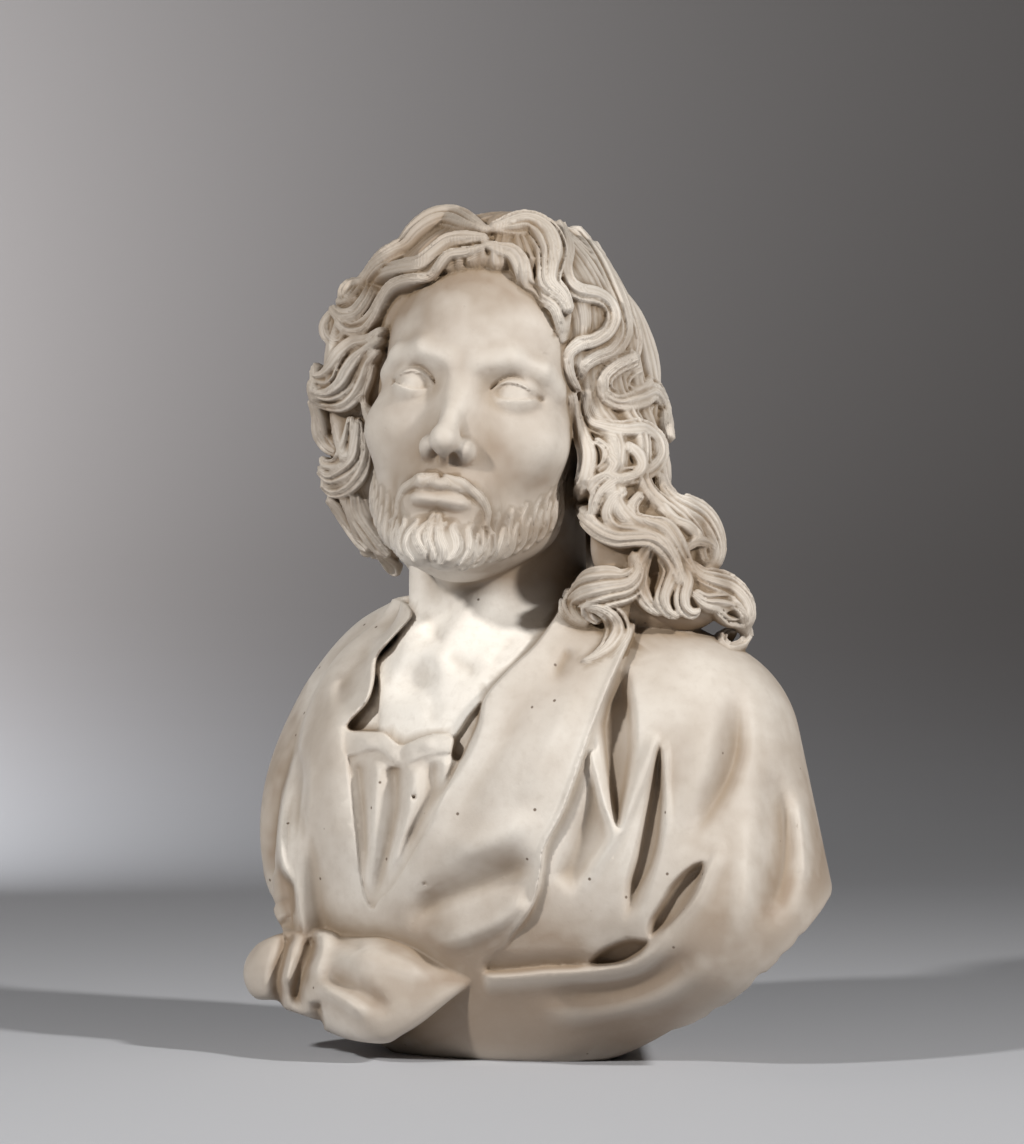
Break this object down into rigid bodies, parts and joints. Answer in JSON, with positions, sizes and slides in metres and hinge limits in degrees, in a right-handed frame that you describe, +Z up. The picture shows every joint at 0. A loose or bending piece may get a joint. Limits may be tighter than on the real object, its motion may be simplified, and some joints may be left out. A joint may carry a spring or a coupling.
{
  "type": "religious bust",
  "caption": "Carved stone bust of a bearded, long-haired robed man, head turned and slightly lifted, resting on its own rounded, flat-cut underside.",
  "frame": {"origin": "centre of the flat that the bust rests on", "axes": "+Z up, the chest faces -Y, the sitter's left is +X"},
  "size_m": [0.4291, 0.2636, 0.5648],
  "materials": {
    "stone": "matt carved marble with a warm aged tone"
  },
  "bodies": {
    "root": {"bust": "stone"}
  },
  "joints": []
}
